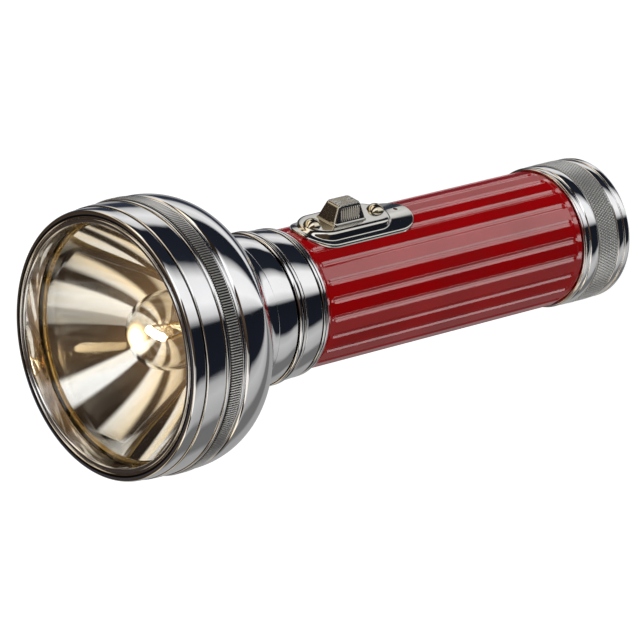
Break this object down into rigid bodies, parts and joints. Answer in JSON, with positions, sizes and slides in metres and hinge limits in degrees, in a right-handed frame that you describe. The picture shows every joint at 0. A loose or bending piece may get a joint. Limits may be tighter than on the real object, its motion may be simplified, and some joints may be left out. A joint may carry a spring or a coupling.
{
  "type": "flashlight",
  "caption": "Chromed torch with a bell head, screw-on bezel, lit round bulb in a parabolic reflector, grooved red barrel, slide switch and screw-on tail cap.",
  "frame": {"origin": "centre of the tail cap's flat end, on which the torch stands", "axes": "+Z along the light's axis from tail to lens, -Y through the middle of the switch"},
  "size_m": [0.0796, 0.0796, 0.1892],
  "materials": {
    "chrome": "polished, bright plated",
    "nickel_trim": "plated, a little worn and warm",
    "red_enamel": "deep glossy enamel",
    "lens_glass": "clear, polished",
    "bulb_glass": "clear, thin blown",
    "silvered": "silvered, fine dust",
    "brass": "satin",
    "steel": "zinc plated",
    "filament": "glowing",
    "fibre": "pressed fibre",
    "paper": "wound card",
    "black_glass": "glossy",
    "cell_jacket": "plain printed jacket"
  },
  "bodies": {
    "torch_body": {"reflector": "silvered", "bulb_glass": "bulb_glass", "bulb_stem": "bulb_glass", "lead_wires": "brass", "filament": "filament", "bulb_base": "brass", "bulb_insulator": "black_glass", "bulb_tip": "steel", "bulb_socket": "brass", "socket_plate": "brass", "insulating_disc": "fibre", "head_shell": "chrome", "head_thread": "steel", "neck_collar": "chrome", "body_tube": "red_enamel", "cell_liner": "paper", "front_cell": "cell_jacket", "front_cell_nub": "steel", "rear_cell": "cell_jacket", "rear_cell_nub": "steel", "switch_plate": "nickel_trim", "switch_rivets": "nickel_trim", "tail_ferrule": "steel"},
    "lens_stack": {"lens": "lens_glass", "lens_ring": "brass"},
    "bezel": {"bezel_ring": "chrome", "bezel_thread": "steel"},
    "switch_slider": {"switch_button": "nickel_trim", "contact_strip": "brass"},
    "spring_stack": {"spring_plate": "brass", "tail_spring": "steel"},
    "tail_cap": {"tail_cap": "chrome", "cap_thread": "steel"}
  },
  "joints": [
    {"name": "switch_slide", "type": "slide", "parent": "torch_body", "child": "switch_slider", "axis": [0, 0, -1], "range_m": [0, 0.0041]},
    {"name": "lens_travel", "type": "slide", "parent": "torch_body", "child": "lens_stack", "axis": [0, 0, 1], "range_m": [0, 0.005]},
    {"name": "bezel_turn", "type": "hinge", "parent": "lens_stack", "child": "bezel", "pos_m": [0, 0, 0.18], "axis": [0, 0, 1], "range_deg": [0, 900]},
    {"name": "spring_travel", "type": "slide", "parent": "torch_body", "child": "spring_stack", "axis": [0, 0, -1], "range_m": [0, 0.009]},
    {"name": "tail_cap_turn", "type": "hinge", "parent": "spring_stack", "child": "tail_cap", "pos_m": [0, 0, 0.01], "axis": [0, 0, -1], "range_deg": [0, 1080]}
  ],
  "couplings": [
    {"joint": "lens_travel", "follows": "bezel_turn", "m_per_rad": 0.0003183},
    {"joint": "spring_travel", "follows": "tail_cap_turn", "m_per_rad": 0.00047746}
  ]
}
